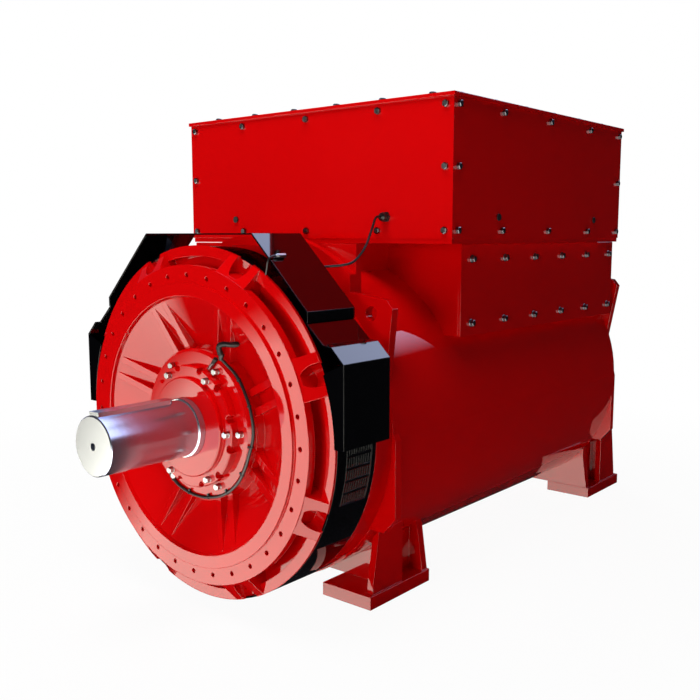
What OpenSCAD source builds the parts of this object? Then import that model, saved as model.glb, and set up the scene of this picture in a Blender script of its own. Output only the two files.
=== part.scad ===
// Two-bearing industrial alternator with drive-end adaptor flange, air hoods and top terminal box.
// Stations s run along the shaft from its free end towards the rear; angles are clock angles from the top.

/* [Shaft] */
// Height of the shaft centre above the soles
shaft_h = 544; // [530:1:600]
// Diameter of the shaft extension
shaft_d = 160; // [140:1:180]
// Free length of the extension up to its shoulder
extension_l = 282; // [240:1:285]
// Diameter of the journal behind the shoulder
journal_d = 168; // [164:1:200]
// Key width
key_w = 40; // [30:1:45]
// Key height, of which a part stands proud of the shaft
key_h = 22; // [18:1:26]
// Key length
key_l = 245; // [150:1:260]
// Tapped centre hole, thread core diameter
centre_hole_d = 21; // [16:1:30]
// Depth of the centre hole
centre_hole_l = 70; // [40:1:90]
// Running clearance around the journal
running_gap = 0.3; // [0.2:0.1:0.8]

/* [Bearing] */
// Raised face of the bearing cap, diameter
cap_face_d = 284; // [240:1:300]
// Flange of the bearing cap, diameter
cap_d = 350; // [335:1:360]
// Thickness of the raised face
cap_face_t = 13; // [6:1:20]
// Thickness of the cap flange
cap_t = 25; // [15:1:30]
// Flange of the bearing cartridge, diameter
cartridge_d = 438; // [420:1:450]
// Thickness of the cartridge flange
cartridge_t = 26; // [18:1:34]
// Barrel of the cartridge that enters the bracket, diameter
cartridge_body_d = 300; // [280:1:320]
// Bolts through the cap flange, each between two notches
cap_bolts = 6; // [4:1:8]
// Station of the cap's raised face
cap_s = 302; // [295:1:310]

/* [Drive-end bracket] */
// Station of the bolt face of the adaptor flange
flange_s = 318; // [310:1:330]
// Bolt circle of the adaptor flange
bolt_circle_d = 850.9; // [830:0.1:870]
// Bolt holes in the adaptor flange
bolt_holes = 32; // [16:8:32]
// Diameter of a flange bolt hole
bolt_hole_d = 13.5; // [11:0.5:18]
// Outer diameter of the adaptor flange
flange_d = 910; // [890:1:930]
// Thickness of the adaptor flange
flange_t = 24; // [18:1:30]
// Diameter of the raised locating face
register_d = 810; // [790:1:820]
// Height of the raised locating face
register_t = 8; // [4:1:12]
// Inner edge of the flange, where the dish begins, diameter
dish_d = 738; // [700:1:760]
// Depth of the dish at the hub
dish_depth = 74; // [50:1:90]
// Rear rim of the bracket, diameter
rim_d = 1016; // [1000:1:1040]
// Distance from the bolt face back to the rear rim
rim_back = 40; // [32:1:50]
// Wall thickness of the casting
casting_t = 28; // [20:1:36]
// Pairs of ribs, each pair in line with a wrench pocket
rib_pairs = 8; // [4:1:10]
// Thickness of a rib
rib_t = 20; // [12:1:24]
// Distance between the two ribs of a pair
rib_pitch = 54; // [40:1:66]
// Angle that the block round a wrench pocket takes in the rim
pocket_angle = 13; // [8:1:18]
// Diameter of a wrench pocket
wrench_pocket_d = 60; // [40:1:62]

/* [Air outlet] */
// Wall of the outlet band
band_t = 5; // [3:1:8]
// Rear end of the outlet band
band_end_s = 523; // [500:1:535]
// Slot columns in an outlet grille
grille_columns = 10; // [4:1:12]
// Slot rows in an outlet grille
grille_rows = 11; // [4:1:12]
// Sheet thickness of the hoods
sheet_t = 4; // [2:1:6]
// Front edge of the hoods
hood_s = 354; // [350:1:360]
// Length of the hoods along the shaft
hood_l = 186; // [170:1:190]
// Half width of the flat top of the upper hood
hood_top_x = 224; // [200:1:240]
// Height of the flat top above the shaft
hood_top_z = 541; // [525:1:560]
// Half width over the upper hood
hood_side_x = 420; // [400:1:440]
// Half width over the side hoods
hood_wing_x = 539; // [525:1:560]

/* [Frame] */
// Outer diameter of the frame barrel
barrel_d = 980; // [960:1:1000]
// How far the barrel's centre lies below the shaft
barrel_drop = 20; // [0:1:24]
// Wall of the frame barrel
barrel_t = 14; // [8:1:20]
// Rear end of the frame barrel, where the end plate sits
barrel_end_s = 2083; // [2060:1:2100]
// Thickness of the lifting plates
plate_t = 27; // [18:1:36]
// Station of the front lifting plate
front_plate_s = 616; // [600:1:625]
// Bore of the rear end plate
end_plate_bore_d = 840; // [780:1:900]
// Half width over the lifting lugs
lug_x = 488; // [470:1:500]
// Height of the lug corner above the shaft
lug_z = 362; // [340:1:380]
// Diameter of the lifting eye
lug_hole_d = 40; // [30:1:50]

/* [Feet] */
// Inner edge of a foot pad
pad_in_x = 214; // [190:1:240]
// Outer edge of a foot pad
pad_out_x = 398; // [390:1:420]
// Length of a foot pad
pad_l = 296; // [260:1:320]
// Thickness of a foot pad
pad_t = 39; // [25:1:45]
// Front edge of the front pads
front_pad_s = 639; // [620:1:650]
// Thickness of the leg plates
leg_t = 27; // [18:1:36]
// Distance over the two cross plates of a leg
leg_l = 193; // [170:1:215]
// Length of the outer gusset at its foot
gusset_l = 144; // [110:1:170]
// Thickness of the outer gusset
gusset_t = 21; // [14:1:28]

/* [Terminal box] */
// Width of the box
box_w = 1098; // [1000:1:1160]
// Length of the box
box_l = 1121; // [1080:1:1160]
// Underside of the box above the shaft centre
box_rise = 512; // [508:1:530]
// Height of the box with its lid
box_h = 413; // [360:1:460]
// Front face of the box
box_s = 808; // [790:1:830]
// Panel thickness
panel_t = 4; // [3:1:8]
// Depth of the floor tray
tray_h = 14; // [10:1:24]
// Overhang of the lid
lid_lip = 6; // [5:1:14]
// Thickness of the lid
lid_t = 5; // [4:1:10]
// Depth of the lid's turned-down edge below its underside
lid_h = 6; // [4:1:16]

/* [Saddle] */
// Half width over the side covers
cover_x = 475; // [465:1:490]
// Thickness of a side cover
cover_t = 8; // [4:1:12]
// Lower edge of the side covers above the shaft centre
cover_rise = 231; // [220:1:256]
// Front face of the saddle
saddle_s = 972; // [955:1:985]
// Length of the saddle
saddle_l = 1083; // [1060:1:1083]
// Plate thickness of the saddle
saddle_t = 16; // [10:1:22]
// Half width of the plate at the front of the bridge
bridge_x = 340; // [320:1:345]
// Thickness of that plate
bridge_t = 22; // [14:1:30]
// Half width of the bridge behind it
bridge_in_x = 200; // [180:1:240]

/* [Leads and sensor] */
// Diameter of the lead from the terminal box to the upper hood
box_lead_d = 7; // [5:1:10]
// Diameter of the lead round the bearing
hub_lead_d = 9; // [6:1:12]
// Diameter of the conduit from the dish to the bearing
conduit_d = 16; // [12:1:20]
// Diameter of the speed sensor
sensor_d = 11; // [8:1:14]
// Diameter of the lead from the hood connector
hood_lead_d = 5; // [4:1:7]
// Place of the gland across the box
gland_x = 317; // [280:1:360]
// Height of the gland above the underside of the box
gland_rise = 77; // [60:1:120]

/* [Non-drive end] */
// Diameter of the non-drive-end bracket
rear_bracket_d = 900; // [860:1:920]
// Thickness of the non-drive-end bracket
rear_bracket_t = 36; // [26:1:42]
// Diameter of the air inlet housing
inlet_d = 640; // [560:1:660]
// Length of the air inlet housing
inlet_l = 150; // [120:1:160]
// Diameter of the rear bearing cover
rear_cover_d = 340; // [300:1:380]
// Thickness of the rear bearing cover
rear_cover_t = 30; // [20:1:40]

/* [Hidden] */
$fn = 96;

red = [0.78, 0.01, 0.01];
black = [0.03, 0.03, 0.04];
steel = [0.75, 0.75, 0.77];

rear_pad_s = barrel_end_s;
end_plate_s = barrel_end_s;
end_plate_end_s = end_plate_s + plate_t;
overall_l = rear_pad_s + pad_l;
shaft_r = shaft_d / 2;
journal_r = journal_d / 2;
journal_bore_r = journal_r + running_gap;
barrel_r = barrel_d / 2;
rim_r = rim_d / 2;
flange_r = flange_d / 2;
over = 1;
seat_gap = 0.3;

// Key and shaft seat
key_rise = 9;
key_s = 6;
end_chamfer = 3;

// Stations of the bearing stack and the bracket
cap_flange_s = cap_s + cap_face_t;
cartridge_s = cap_flange_s + cap_t;
hub_s = cartridge_s + cartridge_t;
rim_s = flange_s + rim_back;
dish_s = flange_s + dish_depth;
hub_end_s = dish_s + 2 * casting_t + 30;
cartridge_end_s = hub_end_s;
rib_step = 360 / rib_pairs;
rib_end_r = dish_d / 2 - 9;

// Groove behind the adaptor flange, for the nuts
groove_in_r = bolt_circle_d / 2 - 28;
groove_out_r = rim_r - 30;
groove_s = rim_s + 26;
rim_lip = 8;
band_s = rim_s + rim_lip;
bracket_end_s = groove_s + casting_t;
band_r = rim_r;
band_in_r = band_r - band_t;

// Grille window in the band, on both sides below the hoods' sills
grille_from = 66;
grille_to = 108;
grille_margin = 38;
grille_s0 = band_s + grille_margin;
grille_s1 = band_end_s - 18;
grille_step = (grille_to - grille_from) / grille_rows;

barrel_in_r = barrel_r - barrel_t;
rear_bearing_s = end_plate_end_s + rear_bracket_t + inlet_l;
shaft_end_s = rear_bearing_s - 4;

box_z = shaft_h + box_rise;
cover_z = shaft_h + cover_rise;
box_lid_z = box_z + box_h;
saddle_end_s = saddle_s + saddle_l;

// Point at radius r and clock angle a, seen from the drive end
function clock(r, a) = [r * sin(a), r * cos(a)];
function arc(r, a0, a1, n) = [for (i = [0 : n]) clock(r, a0 + (a1 - a0) * i / n)];
function unit(v) = v / norm(v);
function left_of(v) = [-v[1], v[0]];

// Mitred copy of an open path, moved to its left by d
function side_dir(p, i) = left_of(unit(p[i + 1] - p[i]));
function mitre(p, i) =
    i == 0 ? side_dir(p, 0) :
    i == len(p) - 1 ? side_dir(p, i - 1) :
    let (n0 = side_dir(p, i - 1), n1 = side_dir(p, i)) (n0 + n1) / (1 + n0 * n1);
function moved_left(p, d) = [for (i = [0 : len(p) - 1]) p[i] + d * mitre(p, i)];
function reversed(p) = [for (i = [len(p) - 1 : -1 : 0]) p[i]];
function mirrored(p) = [for (i = [len(p) - 1 : -1 : 0]) [-p[i][0], p[i][1]]];

// Solid of revolution about the shaft from points [radius, station]
module turned(points) {
    translate([0, -overall_l / 2, shaft_h])
        rotate([-90, 0, 0])
            rotate_extrude($fn = 192)
                polygon(points);
}

// Plate across the shaft from station s, drawn in x and height above the shaft
module across(s, t) {
    translate([0, s + t - overall_l / 2, shaft_h])
        rotate([90, 0, 0])
            linear_extrude(t)
                children();
}

// Plate across the shaft from station s, drawn in x and height above the soles
module across_floor(s, t) {
    translate([0, s + t - overall_l / 2, 0])
        rotate([90, 0, 0])
            linear_extrude(t)
                children();
}

// Plate along the shaft with its inner face at x, drawn in station and height above the soles
module along(x, t) {
    translate([x, -overall_l / 2, 0])
        rotate([90, 0, 90])
            linear_extrude(t)
                children();
}

// Block by its lowest and highest corner in x, station and height above the soles
module block(low, high) {
    translate([low[0], low[1] - overall_l / 2, low[2]])
        cube(high - low);
}

// Round bar along the shaft axis direction
module axial(r, s0, s1) {
    translate([0, s0 - overall_l / 2, shaft_h])
        rotate([-90, 0, 0])
            cylinder(r = r, h = s1 - s0);
}

module each_clock(count, first = 0) {
    for (i = [0 : count - 1])
        translate([0, 0, shaft_h])
            rotate([0, first + i * 360 / count, 0])
                translate([0, 0, -shaft_h])
                    children();
}

module mirror_pair() {
    children();
    mirror([1, 0, 0]) children();
}

// Shaft with its extension, shoulder and the journals in both bearings
module shaft() {
    color(steel)
        difference() {
            turned([[0, 0], [shaft_r - end_chamfer, 0], [shaft_r, end_chamfer], [shaft_r, extension_l],
                    [journal_r - 2, extension_l], [journal_r, extension_l + 2],
                    [journal_r, shaft_end_s], [0, shaft_end_s]]);
            axial(centre_hole_d / 2, -over, centre_hole_l);
            key_seat();
        }
}

key_top = shaft_r + key_rise;
module key_seat() {
    translate([0, 0, shaft_h + key_top - key_h])
        linear_extrude(key_h + over)
            key_outline();
}

// Key outline in plan, square at the shaft end and round at the inner end
module key_outline() {
    translate([-key_w / 2, key_s - overall_l / 2])
        square([key_w, key_l - key_w / 2]);
    translate([0, key_s + key_l - key_w / 2 - overall_l / 2])
        circle(d = key_w);
}

module shaft_key() {
    color(steel)
        translate([0, 0, shaft_h + key_top - key_h])
            linear_extrude(key_h)
                key_outline();
}

module bearing_cap() {
    face_r = cap_face_d / 2;
    cap_r = cap_d / 2;
    edge = 3;
    notch_r = (cap_r - face_r) / 3;
    color(red)
        difference() {
            turned([[journal_bore_r, cap_s], [face_r - edge, cap_s], [face_r, cap_s + edge],
                    [face_r, cap_flange_s], [cap_r - edge, cap_flange_s], [cap_r, cap_flange_s + edge],
                    [cap_r, cartridge_s], [journal_bore_r, cartridge_s]]);
            for (side = [-1, 1])
                each_clock(cap_bolts, 180 / cap_bolts + side * 14)
                    translate([0, 0, cap_r - notch_r / 2])
                        axial(notch_r, cap_flange_s - over, cartridge_s + over);
        }
}

module bearing_cartridge() {
    flange_edge = 8;
    body_r = cartridge_body_d / 2;
    out_r = cartridge_d / 2;
    color(red)
        turned([[journal_bore_r, cartridge_s], [out_r - flange_edge, cartridge_s],
                [out_r, cartridge_s + flange_edge], [out_r, hub_s], [body_r, hub_s],
                [body_r, cartridge_end_s], [journal_bore_r, cartridge_end_s]]);
}

// Cast bracket: hub, ribbed dish, drilled adaptor flange, nut groove and rear rim
module drive_end_bracket() {
    body_r = cartridge_body_d / 2 + seat_gap;
    spigot_r = band_in_r - seat_gap;
    hub_r = cartridge_d / 2;
    dish_r = dish_d / 2;
    reg_r = register_d / 2;
    color(red)
        difference() {
            union() {
                turned([[body_r, hub_s], [hub_r, hub_s], [hub_r + 6, dish_s], [dish_r - 4, flange_s + 4],
                        [dish_r, flange_s - register_t], [reg_r, flange_s - register_t], [reg_r, flange_s],
                        [flange_r, flange_s], [flange_r, flange_s + flange_t], [groove_in_r, flange_s + flange_t],
                        [groove_in_r, groove_s], [groove_out_r, groove_s], [groove_out_r, rim_s],
                        [rim_r, rim_s], [rim_r, band_s], [spigot_r, band_s], [spigot_r, bracket_end_s],
                        [groove_in_r - casting_t, bracket_end_s], [groove_in_r - casting_t, flange_s + 2 * casting_t],
                        [dish_r - 2 * casting_t, flange_s + 2 * casting_t + 6], [hub_r + casting_t, dish_s + casting_t],
                        [hub_r, hub_end_s], [body_r, hub_end_s]]);
                each_clock(rib_pairs, rib_step / 2) rib_pair();
                each_clock(rib_pairs, rib_step / 2) pocket_block();
            }
            each_clock(rib_pairs, rib_step / 2) wrench_pocket();
            each_clock(bolt_holes) flange_hole();
        }
}

// Two parallel ribs on the upper centre line, from the hub out to the dish
module rib_pair() {
    hub_r = cartridge_d / 2;
    for (side = [-1, 1])
        translate([side * rib_pitch / 2 - rib_t / 2, 0, 0])
            along(0, rib_t)
                polygon([[hub_s, shaft_h + hub_r - 6], [hub_s, shaft_h + hub_r + seat_gap],
                         [flange_s + 6, shaft_h + rib_end_r], [flange_s + casting_t, shaft_h + rib_end_r - 14],
                         [dish_s + casting_t / 2, shaft_h + hub_r - 6]]);
}

// Block that bridges the nut groove, its front sloping from the flange to the rim
module pocket_block() {
    half = rim_r * sin(pocket_angle / 2);
    top_z = shaft_h + sqrt(rim_r * rim_r - half * half);
    low_z = shaft_h + sqrt(flange_r * flange_r - half * half);
    along(-half, 2 * half)
        polygon([[flange_s + over, low_z], [rim_s, top_z], [band_s - over, top_z],
                 [band_s - over, shaft_h + groove_out_r + 6], [groove_s + over, shaft_h + groove_out_r + 6],
                 [groove_s + over, shaft_h + groove_in_r - 6],
                 [flange_s + flange_t / 2, shaft_h + groove_in_r - 6]]);
}

// Round pocket through a block, so that a wrench reaches the nuts
module wrench_pocket() {
    translate([0, (flange_s + groove_s) / 2 + 2 - overall_l / 2, shaft_h + flange_r + 5])
        cylinder(r = wrench_pocket_d / 2, h = rim_r - flange_r);
}

module flange_hole() {
    translate([0, 0, bolt_circle_d / 2])
        axial(bolt_hole_d / 2, flange_s - over, flange_s + flange_t + over);
}

// Black band that carries the cooling air out between bracket and frame
module outlet_band() {
    color(black)
        difference() {
            turned([[band_in_r, band_s], [band_r, band_s], [band_r, band_end_s], [band_in_r, band_end_s]]);
            mirror_pair()
                across(grille_s0, grille_s1 - grille_s0)
                    grille_sector(band_in_r - over, band_r + over);
        }
}

module grille_sector(r0, r1) {
    steps = 12;
    polygon(concat(arc(r0 / cos(2), grille_from, grille_to, steps), reversed(arc(r1 + 2, grille_from, grille_to, steps))));
}

// Slotted grille that fills the window of the band
module right_outlet_grille() {
    color(black) grille();
}

module left_outlet_grille() {
    color(black) mirror([1, 0, 0]) grille();
}

module grille() {
    slot_w = (grille_s1 - grille_s0) / (grille_columns * 2 + 1);
    difference() {
        intersection() {
            turned([[band_in_r, grille_s0], [band_r, grille_s0], [band_r, grille_s1], [band_in_r, grille_s1]]);
            across(grille_s0, grille_s1 - grille_s0)
                grille_sector(band_in_r - over, band_r + over);
        }
        for (row = [0 : grille_rows - 1], column = [0 : grille_columns - 1])
            translate([0, 0, shaft_h])
                rotate([0, grille_from + (row + 0.5) * grille_step, 0])
                    translate([-band_r * sin(grille_step) * 0.38,
                               grille_s0 + (2 * column + 1) * slot_w - overall_l / 2, band_in_r - 4])
                        cube([band_r * sin(grille_step) * 0.76, slot_w, band_t + 8]);
    }
}

// Bent sheet from an outer path, sheet thickness inside it
module bent_sheet(path) {
    polygon(concat(path, reversed(moved_left(path, -sheet_t))));
}

hood_slope = hood_side_x - hood_top_x;
hood_knee_z = hood_top_z - hood_slope;
hood_sill_z = hood_knee_z - 28;
upper_path = concat([[-hood_side_x, hood_sill_z], [-hood_side_x, hood_knee_z], [-hood_top_x, hood_top_z]],
                    [[hood_top_x, hood_top_z], [hood_side_x, hood_knee_z], [hood_side_x, hood_sill_z]]);
wing_path = [[hood_side_x - sheet_t, hood_sill_z], [hood_side_x + 52, hood_sill_z - 52],
             [hood_side_x + 79, hood_sill_z - 55], [hood_wing_x, hood_sill_z - 95], [hood_wing_x, 5]];

module upper_hood() {
    color(black)
        across(hood_s, hood_l)
            bent_sheet(upper_path);
}

module right_hood() {
    color(black) wing_hood();
}

module left_hood() {
    color(black) mirror([1, 0, 0]) wing_hood();
}

// Side hood: bent sheet with closing plates at the front and rear
module wing_hood() {
    across(hood_s, hood_l)
        bent_sheet(wing_path);
    across(hood_s, sheet_t)
        wing_plate(hood_sill_z - 121);
    across(hood_s + hood_l - sheet_t, sheet_t)
        wing_plate(hood_sill_z - 60);
}

// Closing plate between the bent sheet and the round rim
module wing_plate(top_z) {
    difference() {
        polygon([[hood_wing_x - sheet_t, 5], [hood_wing_x - sheet_t, hood_sill_z - 97],
                 [hood_side_x + 60, top_z], [hood_side_x, top_z - 60], [hood_side_x, 5]]);
        circle(r = band_r + 0.2, $fn = 192);
    }
}

module frame_barrel() {
    ring_l = 18;
    ring_in_r = barrel_in_r - 26;
    color(red) {
        turned([[ring_in_r, band_end_s], [band_r, band_end_s], [band_r, band_end_s + ring_l],
                [ring_in_r, band_end_s + ring_l]]);
        translate([0, 0, -barrel_drop])
            turned([[barrel_in_r, band_end_s + 2], [barrel_r, band_end_s + 2], [barrel_r, barrel_end_s],
                    [barrel_in_r, barrel_end_s]]);
    }
}

// Leg plates: waisted outer edge, straight inner edge
leg_foot_x = pad_out_x - 9;
leg_low_x = 140;
leg_waist_z = pad_t + 133;
leg_top_z = shaft_h - 254;
leg_path = [[leg_low_x, pad_t], [leg_foot_x, pad_t], [leg_foot_x - 19, leg_waist_z], [leg_foot_x - 52, leg_top_z],
            [leg_low_x, leg_top_z]];
leg_edge = [[leg_foot_x - 19, leg_waist_z - shaft_h], [leg_foot_x, pad_t - shaft_h], [leg_low_x, pad_t - shaft_h]];
gusset_toe = 22;
gusset_toe_h = 17;
gusset_rake = 35;
gusset_top_z = shaft_h - 282;
web_x = leg_foot_x - 75;
web_t = 25;

// Right half of the lifting plates: lug with a chamfered corner, arc along the barrel, wing below the shaft
plate_r = barrel_r + 4;
end_plate_r = barrel_in_r + 3;
crown_r = barrel_r + 56;
lug_slope = 16;
lug_top_x = lug_x - 148;
lug_chamfer = [20, 24];
lug_low_z = 140;
wing_top_z = -5;
wing_low_z = -290;
// Arc about the barrel's centre, and the clock angle at which it passes a height above the shaft
function ring_arc(r, a0, a1, n) = [for (p = arc(r, a0, a1, n)) p - [0, barrel_drop]];
function ring_angle(r, z) = 90 - asin((z + barrel_drop) / r);
lug_edge = [[lug_top_x, lug_z + lug_slope], [lug_x - lug_chamfer[0], lug_z], [lug_x, lug_z - lug_chamfer[1]]];
function lug_to_wing(r) = ring_arc(r, ring_angle(r, lug_low_z), ring_angle(r, wing_top_z), 4);
function wing_edge(x) = [[x, wing_top_z - 19], [x, wing_low_z + 46], [x - 40, wing_low_z]];
crown_angle = asin(lug_top_x / crown_r);
front_plate_half = concat(arc(crown_r, 0, crown_angle, 8), lug_edge, lug_to_wing(plate_r), wing_edge(plate_r + 8),
                          ring_arc(plate_r, ring_angle(plate_r, wing_low_z), 180, 12));
end_plate_half = concat(ring_arc(end_plate_r, 0, asin((lug_top_x - 60) / end_plate_r), 8), lug_edge,
                        lug_to_wing(end_plate_r), wing_edge(end_plate_r + 4),
                        [[leg_foot_x - 17, wing_low_z - 2]], leg_edge,
                        ring_arc(end_plate_r, 180 - asin(leg_low_x / end_plate_r), 180, 4));

// Plate across the frame from its right half outline, with the two lifting eyes
module lifting_plate(half_outline, bore_r, bore_drop) {
    difference() {
        polygon(concat(half_outline, mirrored(half_outline)));
        translate([0, -bore_drop]) circle(r = bore_r, $fn = 192);
        mirror_pair()
            translate([lug_x - 72, lug_z - 39])
                circle(d = lug_hole_d);
    }
}

module front_lifting_plate() {
    color(red)
        across(front_plate_s, plate_t)
            lifting_plate(front_plate_half, barrel_r, barrel_drop);
}

// End plate of the frame with lugs, wings and the legs of the rear feet
module rear_end_plate() {
    color(red)
        across(end_plate_s, plate_t)
            lifting_plate(end_plate_half, end_plate_bore_d / 2, 0);
}

module front_right_foot() {
    color(red) front_foot();
}

module front_left_foot() {
    color(red) mirror([1, 0, 0]) front_foot();
}

module rear_right_foot() {
    color(red) rear_foot();
}

module rear_left_foot() {
    color(red) mirror([1, 0, 0]) rear_foot();
}

// Front foot: pad, two cross plates on the barrel, inner web between them and outer gusset in front
module front_foot() {
    leg_s = front_pad_s + pad_l - leg_l;
    toe_s = front_pad_s + gusset_toe;
    difference() {
        union() {
            block([pad_in_x, front_pad_s, 0], [pad_out_x, front_pad_s + pad_l, pad_t]);
            for (s = [leg_s, leg_s + leg_l - leg_t])
                across_floor(s, leg_t) polygon(leg_path);
            block([web_x, leg_s, pad_t], [web_x + web_t, leg_s + leg_l, gusset_top_z]);
            along(leg_foot_x - gusset_t, gusset_t)
                polygon([[toe_s, pad_t], [toe_s, pad_t + gusset_toe_h], [toe_s + gusset_rake, gusset_top_z],
                         [toe_s + gusset_l, gusset_top_z], [toe_s + gusset_l, pad_t]]);
        }
        translate([0, 0, -barrel_drop]) axial(barrel_r, 0, overall_l);
    }
}

// Rear foot: pad under the end plate, second cross plate, inner web and outer gusset behind
module rear_foot() {
    cross_s = rear_pad_s + leg_l - leg_t;
    pad_end_s = rear_pad_s + pad_l;
    toe_s = pad_end_s - gusset_toe;
    difference() {
        union() {
            block([pad_in_x, rear_pad_s, 0], [pad_out_x, pad_end_s, pad_t]);
            across_floor(cross_s, leg_t)
                polygon([[pad_in_x, pad_t], [leg_foot_x, pad_t], [leg_foot_x - 19, leg_waist_z],
                         [leg_foot_x - 40, gusset_top_z], [web_x, gusset_top_z]]);
            block([web_x, end_plate_end_s, pad_t], [web_x + web_t, cross_s + leg_t, gusset_top_z - 60]);
            along(leg_foot_x - gusset_t, gusset_t)
                polygon([[toe_s - gusset_l, pad_t], [toe_s - gusset_l, gusset_top_z],
                         [toe_s - gusset_rake, gusset_top_z], [toe_s, pad_t + gusset_toe_h], [toe_s, pad_t]]);
        }
        axial(rear_bracket_d / 2 + seat_gap, end_plate_s - over, overall_l);
    }
}

// Bridge between the front lifting plate and the saddle, under the front of the box
module front_bridge() {
    from_s = front_plate_s + plate_t;
    color(red) {
        across_floor(from_s, bridge_t) bridge_outline(bridge_x);
        across_floor(from_s + bridge_t - over, saddle_s - from_s - bridge_t + over) bridge_outline(bridge_in_x);
    }
}

module bridge_outline(half_w) {
    difference() {
        translate([-half_w, shaft_h]) square([2 * half_w, box_z - shaft_h]);
        translate([0, shaft_h - barrel_drop]) circle(r = barrel_r, $fn = 192);
    }
}

// Saddle: cross plates at both ends, rails on top and sills at the bottom
module saddle_frame() {
    in_x = cover_x - cover_t;
    color(red) {
        for (s = [saddle_s, saddle_end_s - saddle_t])
            across_floor(s, saddle_t) saddle_outline();
        difference() {
            union() {
                block([-in_x, saddle_s, box_z - saddle_t], [in_x, saddle_end_s, box_z]);
                mirror_pair()
                    block([barrel_r * 0.8, saddle_s, cover_z], [in_x, saddle_end_s, cover_z + saddle_t]);
            }
            translate([0, 0, -barrel_drop]) axial(barrel_r, 0, overall_l);
        }
    }
}

module saddle_outline() {
    in_x = cover_x - cover_t;
    difference() {
        translate([-in_x, cover_z]) square([2 * in_x, box_z - cover_z]);
        translate([0, shaft_h - barrel_drop]) circle(r = barrel_r, $fn = 192);
    }
}

module right_side_cover() {
    color(red) side_cover();
}

module left_side_cover() {
    color(red) mirror([1, 0, 0]) side_cover();
}

module side_cover() {
    edge = 4;
    across_profile = [[cover_x - cover_t, cover_z], [cover_x, cover_z], [cover_x, box_z - edge],
                      [cover_x - edge, box_z], [cover_x - cover_t, box_z]];
    across_floor(saddle_s, saddle_l)
        polygon(across_profile);
}

half_box = box_w / 2;
box_end_s = box_s + box_l;
panel_z = box_z + tray_h;
panel_top = box_lid_z - lid_t;
tray_in = panel_t * 0.7;

// Floor tray of the terminal box
module box_floor() {
    color(red)
        difference() {
            block([-half_box + tray_in, box_s + tray_in, box_z], [half_box - tray_in, box_end_s - tray_in, panel_z]);
            block([-half_box + tray_in + panel_t, box_s + tray_in + panel_t, box_z + panel_t],
                  [half_box - tray_in - panel_t, box_end_s - tray_in - panel_t, panel_z + over]);
        }
}

module box_front_panel() {
    color(red)
        block([-half_box, box_s, panel_z], [half_box, box_s + panel_t, panel_top]);
}

module box_rear_panel() {
    color(red)
        block([-half_box, box_end_s - panel_t, panel_z], [half_box, box_end_s, panel_top]);
}

module box_right_panel() {
    color(red) box_side_panel();
}

module box_left_panel() {
    color(red) mirror([1, 0, 0]) box_side_panel();
}

module box_side_panel() {
    block([half_box - panel_t, box_s + panel_t, panel_z], [half_box, box_end_s - panel_t, panel_top]);
}

// Lid with a turned-down edge outside the panels
module box_lid() {
    out_x = half_box + lid_lip;
    from_s = box_s - lid_lip;
    to_s = box_end_s + lid_lip;
    color(red)
        difference() {
            block([-out_x, from_s, panel_top - lid_h], [out_x, to_s, box_lid_z]);
            block([-out_x + panel_t, from_s + panel_t, panel_top - lid_h - over],
                  [out_x - panel_t, to_s - panel_t, panel_top]);
        }
}

module rear_bracket() {
    from_s = end_plate_end_s;
    to_s = from_s + rear_bracket_t;
    out_r = rear_bracket_d / 2;
    edge = 8;
    color(red)
        turned([[journal_bore_r, from_s], [out_r, from_s], [out_r, to_s - edge], [out_r - edge, to_s],
                [journal_bore_r, to_s]]);
}

module inlet_housing() {
    wall = 10;
    bend = 20;
    from_s = end_plate_end_s + rear_bracket_t;
    to_s = rear_bearing_s;
    out_r = inlet_d / 2;
    color(red)
        turned([[out_r - wall, from_s], [out_r, from_s], [out_r, to_s - bend], [out_r - bend, to_s],
                [journal_bore_r, to_s], [journal_bore_r, to_s - wall], [out_r - wall - bend / 2, to_s - wall],
                [out_r - wall, to_s - wall - bend / 2]]);
}

module rear_bearing_cover() {
    from_s = rear_bearing_s;
    color(red)
        turned([[0, from_s], [rear_cover_d / 2, from_s], [rear_cover_d / 2, from_s + rear_cover_t - 6],
                [rear_cover_d / 2 - 6, from_s + rear_cover_t], [0, from_s + rear_cover_t]]);
}

// Smooth route through chosen points, with a number of steps between two of them
function blend_point(a, b, c, d, t) =
    0.5 * (2 * b + (c - a) * t + (2 * a - 5 * b + 4 * c - d) * t * t + (3 * b - a - 3 * c + d) * t * t * t);
function route(p, steps) =
    concat([for (i = [0 : len(p) - 2], j = [0 : steps - 1])
                blend_point(p[max(i - 1, 0)], p[i], p[i + 1], p[min(i + 2, len(p) - 1)], j / steps)],
           [p[len(p) - 1]]);
function heading(p, i) = unit(p[min(i + 1, len(p) - 1)] - p[max(i - 1, 0)]);
function ring_at(c, along_dir, side_dir, r) =
    let (u = unit(cross(side_dir, along_dir)), v = cross(along_dir, u))
    [for (k = [0 : 7]) c + r * (cos(45 * k) * u + sin(45 * k) * v)];

// Point from radius, clock angle and station
function hub_point(r, a, s) = [r * sin(a), s - overall_l / 2, shaft_h + r * cos(a)];

// Eight-sided tube along a route; side is a direction that the route never follows
module tube(p, d, side) {
    n = len(p);
    points = [for (i = [0 : n - 1]) each ring_at(p[i], heading(p, i), side, d / 2)];
    walls = [for (i = [0 : n - 2], k = [0 : 7])
                 each [[8 * i + k, 8 * i + 8 + k, 8 * i + (k + 1) % 8],
                       [8 * i + (k + 1) % 8, 8 * i + 8 + k, 8 * i + 8 + (k + 1) % 8]]];
    polyhedron(points, concat([[for (k = [0 : 7]) k]], walls, [[for (k = [7 : -1 : 0]) 8 * (n - 1) + k]]));
}

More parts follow.
